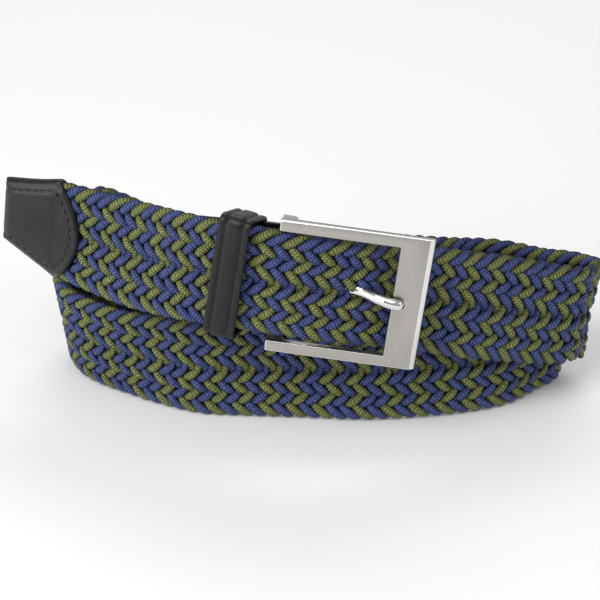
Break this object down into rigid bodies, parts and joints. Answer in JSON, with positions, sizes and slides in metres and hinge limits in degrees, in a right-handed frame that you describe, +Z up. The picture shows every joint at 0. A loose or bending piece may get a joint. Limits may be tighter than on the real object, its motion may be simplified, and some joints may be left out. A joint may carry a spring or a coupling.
{
  "type": "elastic stretch belt",
  "caption": "Braided elastic waist belt with leather ends, keeper and a rectangular prong buckle, fastened and coiled in two turns standing on edge.",
  "frame": {"origin": "middle of the coiled belt's base, on the surface it stands on", "axes": "+X along the coil towards the side that the buckle's front bar faces, -Y towards the buckle's face, +Z up"},
  "size_m": [0.1944, 0.0798, 0.0768],
  "materials": {
    "braid": "woven cord braid, matt, blue and olive green",
    "tip_leather": "smooth black leather, satin",
    "chape_leather": "smooth black leather, satin",
    "keeper_leather": "creased black leather, satin",
    "satin_metal": "satin nickel plate, finely brushed",
    "polished_metal": "polished"
  },
  "bodies": {
    "root": {"braided_strap": "braid", "leather_tip": "tip_leather", "leather_chape": "chape_leather", "keeper_loop": "keeper_leather", "buckle_frame": "satin_metal", "prong": "polished_metal"}
  },
  "joints": []
}
